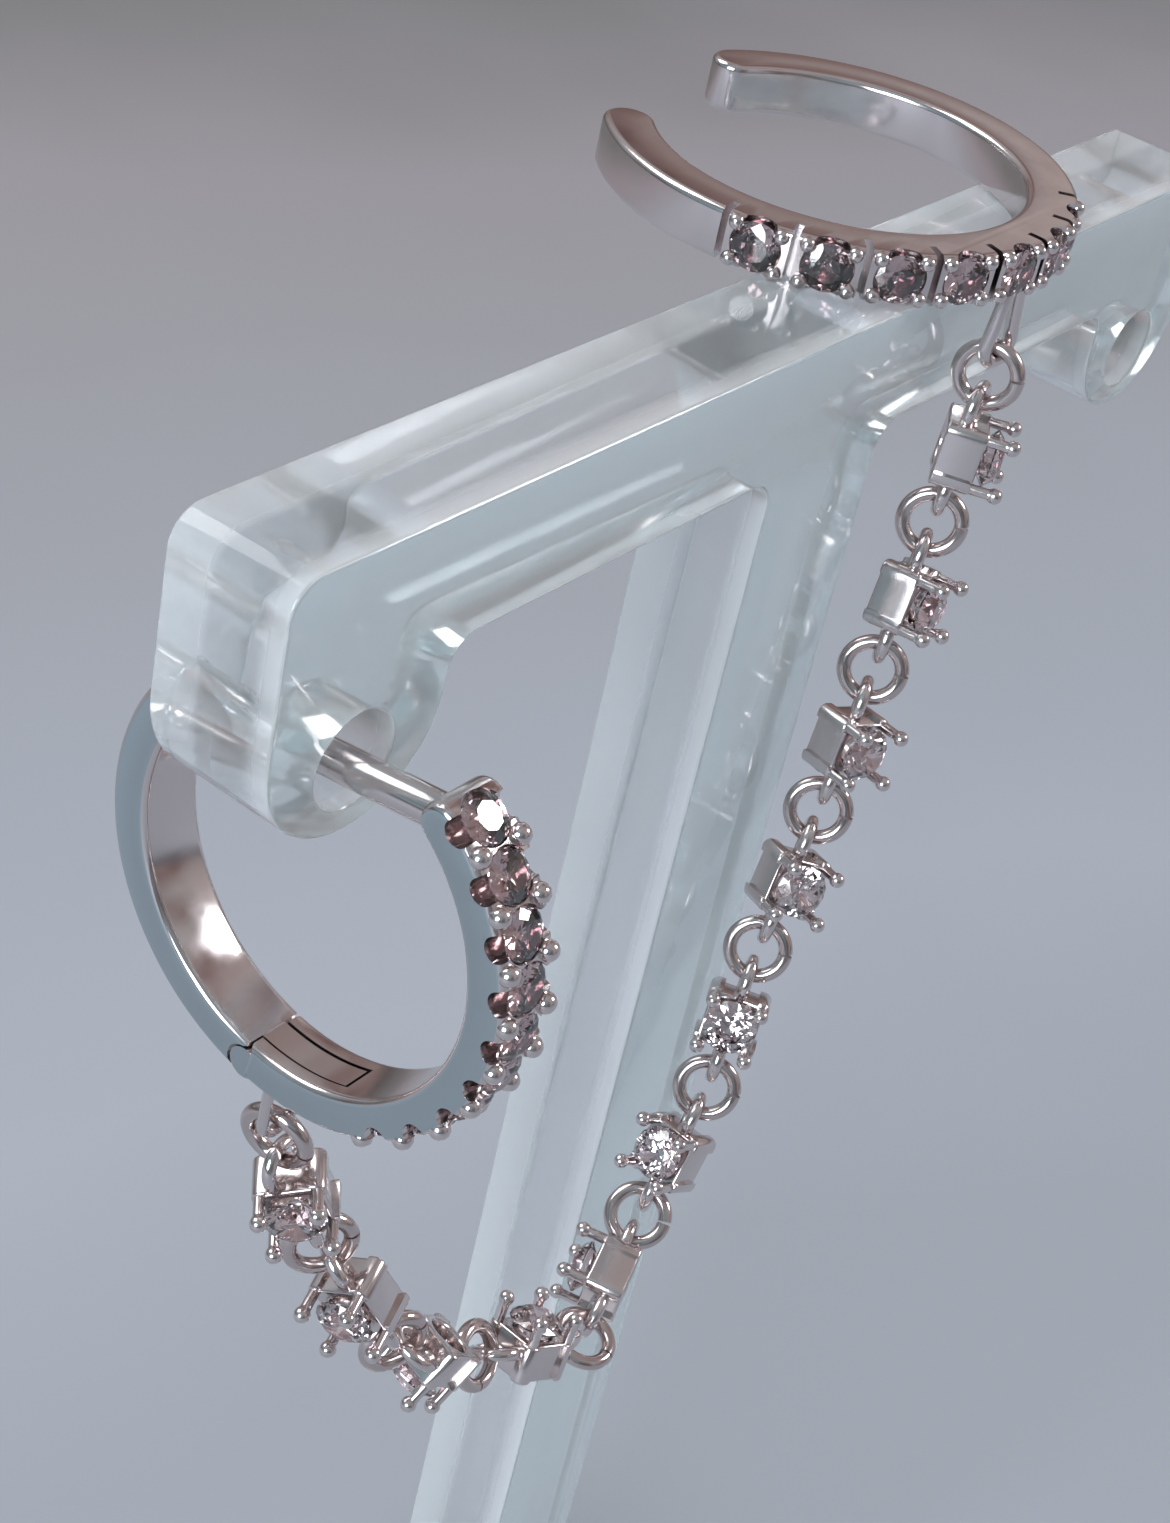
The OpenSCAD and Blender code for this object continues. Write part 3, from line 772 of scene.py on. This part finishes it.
def buildChain(c):
    ringRadius = (c["ringOuter"] - c["ringWire"]) / 2
    reach = ringRadius - (c["ringWire"] + c["loopWire"]) / 2 - c["linkGap"] + loopRadius
    route = [Vector(p) + up * stand["height"] for p in c["route"]]
    count = len(route) - 1
    turn = math.radians(cuff["bailAt"])
    out = cuff["outer"] / 2 - cuff["bailInset"]
    first = Vector((cuff["x"] + out * math.cos(turn),
                    stand["sheet"] / 2 + cuff["back"] + out * math.sin(turn),
                    stand["height"] - cuff["bailDrop"] - reach))
    last = onHoop(hoop["outer"] / 2 + hoop["bailDrop"] + reach, hoop["bailAt"])
    corners = [p + (first - route[0]) * (1 - i / count) + (last - route[-1]) * i / count
               for i, p in enumerate(route)]
    lines = [(b - a).normalized() for a, b in zip(corners, corners[1:])]
    before = [-up] + lines
    after = lines + [(hoopCentre - last).normalized()]
    rings, faces = [], []
    for i, corner in enumerate(corners):
        line = (before[i] + after[i]).normalized()
        side = across(Vector((0, -1, 0)), line).normalized()
        angle = math.radians(c["ringTurn"][i])
        face = math.cos(angle) * line.cross(side) + math.sin(angle) * side
        faces.append(face)
        middle = corner + face * face.dot(after[i] - before[i]) * reach / 2
        flat = across(before[i] + after[i], face).normalized()
        rings.append(axesMatrix(flat, face.cross(flat), face, middle))
    links, loops = [], []
    for i, line in enumerate(lines):
        side = across(Vector((0, -1, 0)), line).normalized()
        angle = math.radians(c["stoneTurn"][i])
        face = math.cos(angle) * side + math.sin(angle) * line.cross(side)
        links.append(axesMatrix(line.cross(face), line, face, (corners[i] + corners[i + 1]) / 2))
        for k, way in ((i, line), (i + 1, -line)):
            pin = faces[k].cross(way).normalized()
            loops.append(axesMatrix(way, pin.cross(way), pin, corners[k] + way * reach))
    two = [f"{i:02d}" for i in range(1, count + 2)]

    # round wire ring, its ends butted with a hair's gap
    slit = math.degrees(c["buttGap"] / 2 / ringRadius)
    path = [(*p, 0) for p in arcPoints(0, 0, ringRadius, 100 + slit, 460 - slit, 64)]
    ring = wireMesh("jumpRing", path, c["ringWire"], 18)
    piece = scatter("jumpRings", ring, rings, wireSilver)
    finishPiece(piece, root, ["jump_ring_" + t for t in two])

    # square collar with a recessed panel on each side, four ball-tipped claws
    half, corner = c["collar"] / 2, c["collarCorner"]
    panel, back = c["panel"] / 2, half - c["panelDepth"]
    plan = []
    for turn in (0, 90, 180, 270):
        side = [(-panel, half, 0), (-panel, back, 0), (panel, back, 0), (panel, half, 0),
                (half, half, corner)]
        swing = spun(-turn)
        plan += [(*(swing @ Vector((px, py, 0))).to_2d(), r) for px, py, r in side]
    plan = roundedOutline(plan, 6)[::-1]
    bore = arcPoints(0, 0, c["collarBore"] / 2, 360, 0, 32)[:-1]
    box = plateMesh("collar", [plan, bore], c["collarHigh"] - c["collarLow"], c["collarEdge"], 2)
    box.transform(moved(0, 0, (c["collarHigh"] + c["collarLow"]) / 2))
    stem, ball = c["clawWidth"] / 2, c["clawBall"] / 2
    claw = latheMesh("claw", [(0, c["collarLow"] + 0.06), (stem * 0.8, c["collarLow"] + 0.06),
                              (stem, c["collarLow"] + 0.12), (stem, c["clawTop"] - ball * 0.95)]
                     + [(ball * math.sin(a), c["clawTop"] - ball * math.cos(a))
                        for a in [math.radians(d) for d in range(45, 181, 15)]], 18)
    spread = (c["stoneWidth"] / 2 + stem + c["clawPlay"]) / math.sqrt(2)
    collar = joinMeshes("setting", [(box, Matrix.Identity(4))]
                        + [(claw, moved(sx * spread, sy * spread, 0))
                           for sx in (-1, 1) for sy in (-1, 1)])
    piece = scatter("settings", collar, links, silver, True, 38)
    finishPiece(piece, root, ["setting_" + t for t in two[:-1]])
    circle = arcPoints(c["eyeExtra"], 0, loopRadius + c["eyeExtra"], 0, 360, 40)
    eye = wireMesh("loop", [(*p, 0) for p in circle], c["eyeWire"], 14)
    piece = scatter("endLoops", eye, loops, silver, True, 0)
    finishPiece(piece, root, [])

    gem = brilliantCut("chainGem", c["stoneWidth"] / 2, *c["gem"])
    seats = [m @ moved(0, 0, c["girdleHeight"]) for m in links]
    piece = scatter("chainStones", gem, seats, zirconia, False)
    finishPiece(piece, root, ["stone_" + t for t in two[:-1]])


buildChain(chain)
print("chain made")


# floor, light and camera
studio = {
    "floorHalf": 3, "floorDrop": 0.02, "skyStrength": 1.12, "wall": "#7A7A7B",
    # each lamp: where it stands in metres, its width, its power and its colour
    "lamps": {
        "keyBox": ((-0.10, 0.35, 0.45), 0.30, 1.1, "#FFFFFF"),
        "sideBox": ((-0.46, -0.05, 0.24), 0.24, 1.8, "#EEF5FC"),
        "frontBox": ((0.42, -0.31, 0.36), 0.14, 1.5, "#F4F9FF"),
    },
}


def multiplied(tree, first, second):
    return addNode(tree, "ShaderNodeMix", {6: first, 7: second}, {0: 1.0},
                   data_type="RGBA", blend_type="MULTIPLY").outputs[2]


def buildFloor(s):
    # Matte card with painted shade: its tone darkens away from the camera as a painted light falloff,
    # with a faint random paper tone
    material, tree = newMaterial("matteCard")
    place = addNode(tree, "ShaderNodeTexCoord").outputs["Object"]
    away = addNode(tree, "ShaderNodeVectorMath", {0: place}, {1: (0.35, 0.95, 0)},
                   operation="DOT_PRODUCT")
    paper = objectNoise(tree, 70, 3)
    paperAndPaintedFalloff = addNode(tree, "ShaderNodeMath", {0: paper.outputs["Fac"], 2: away.outputs["Value"]},
                    {1: 0.05}, operation="MULTIPLY_ADD")
    paintedFalloff = addNode(tree, "ShaderNodeMapRange", {"Value": paperAndPaintedFalloff.outputs[0]},
                  {"From Min": 0.045, "From Max": 0.275})
    # painted light and shade: pale blue-grey near the stand, darker grey further off
    tone = rampNode(tree, paintedFalloff.outputs[0],
                    [(0, "#A2A7AF"), (0.1, "#ACB1BA"), (0.22, "#A6AAB2"), (0.39, "#9F9EA3"),
                     (0.53, "#9E989D"), (0.75, "#7C7C7B")])
    shader = addNode(tree, "ShaderNodeBsdfPrincipled", {"Base Color": tone}, {"Roughness": 0.8})
    addNode(tree, "ShaderNodeOutputMaterial", {"Surface": shader.outputs[0]})
    ground = bpy.data.meshes.new("floor")
    size = s["floorHalf"]
    level = -s["floorDrop"] * mm  # a hair under the foot, so the two faces don't share a plane
    ground.from_pydata([(-size, -size, level), (size, -size, level), (size, size, level),
                        (-size, size, level)], [], [(0, 1, 2, 3)])
    makeObject("floor", ground, material, False)


def buildWorld(s):
    # A soft room seen by the metal: cool on one side, warm on the other, dark patches. The
    # camera itself sees one plain tone behind the floor
    world = bpy.data.worlds.new("softStudio")
    world.use_nodes = True
    bpy.context.scene.world = world
    tree = world.node_tree
    tree.nodes.clear()
    way = addNode(tree, "ShaderNodeTexCoord").outputs["Generated"]
    parts = addNode(tree, "ShaderNodeSeparateXYZ", {"Vector": way}).outputs
    patches = addNode(tree, "ShaderNodeTexNoise", {"Vector": way},
                      {"Scale": 1.9, "Detail": 2.5, "Roughness": 0.6, "Distortion": 0.8})
    room = rampNode(tree, patches.outputs["Fac"],
                    [(0.3, "#877170"), (0.4, "#B9A8A6"), (0.48, "#CFC6C4"), (0.58, "#E3E6E8"),
                     (0.72, "#FFFFFF")])
    sideways = addNode(tree, "ShaderNodeMapRange", {"Value": parts["X"]},
                       {"From Min": -1, "From Max": 1})
    side = rampNode(tree, sideways.outputs[0],
                    [(0, "#A9CAD4"), (0.45, "#DCE0E2"), (1, "#E2CFC8")])
    height = rampNode(tree, parts["Z"],
                      [(0, "#CBCDCF"), (0.25, "#C6C9CC"), (0.6, "#CDD1D4"), (1, "#E2E5E8")])
    light = multiplied(tree, multiplied(tree, room, side), height)
    sky = addNode(tree, "ShaderNodeBackground", {"Color": light}, {"Strength": s["skyStrength"]})
    wall = addNode(tree, "ShaderNodeBackground", None, {"Color": srgb(s["wall"]), "Strength": 1})
    seen = addNode(tree, "ShaderNodeLightPath").outputs["Is Camera Ray"]
    either = addNode(tree, "ShaderNodeMixShader", {0: seen, 1: sky.outputs[0], 2: wall.outputs[0]})
    addNode(tree, "ShaderNodeOutputWorld", {"Surface": either.outputs[0]})


def buildLights(s):
    for name, (place, width, power, code) in s["lamps"].items():
        lamp = bpy.data.lights.new(name, "AREA")
        lamp.shape, lamp.size, lamp.energy = "SQUARE", width, power
        lamp.color = srgb(code)[:3]
        holder = bpy.data.objects.new(name, lamp)
        holder.location = place
        aim = Vector((0, 0, 0.05)) - Vector(place)
        holder.rotation_euler = aim.to_track_quat("-Z", "Y").to_euler()
        bpy.context.scene.collection.objects.link(holder)


def buildCamera(v):
    a, e, r = (math.radians(v[key]) for key in ("azimuth", "elevation", "roll"))
    back = Vector((math.sin(a) * math.cos(e), -math.cos(a) * math.cos(e), math.sin(e)))
    level = (-back).cross(up).normalized()
    top = level.cross(-back)
    right = math.cos(r) * level + math.sin(r) * top
    above = -math.sin(r) * level + math.cos(r) * top
    data = bpy.data.cameras.new("camera")
    data.lens, data.sensor_width, data.clip_start = v["lens"], 36, 0.001
    camera = bpy.data.objects.new("camera", data)
    camera.matrix_world = axesMatrix(right, above, back, Vector(v["place"]))
    bpy.context.scene.collection.objects.link(camera)
    bpy.context.scene.camera = camera


buildFloor(studio)
buildWorld(studio)
buildLights(studio)
buildCamera(cameraView)
bpy.context.scene.view_settings.view_transform = "Standard"
print("studio made")
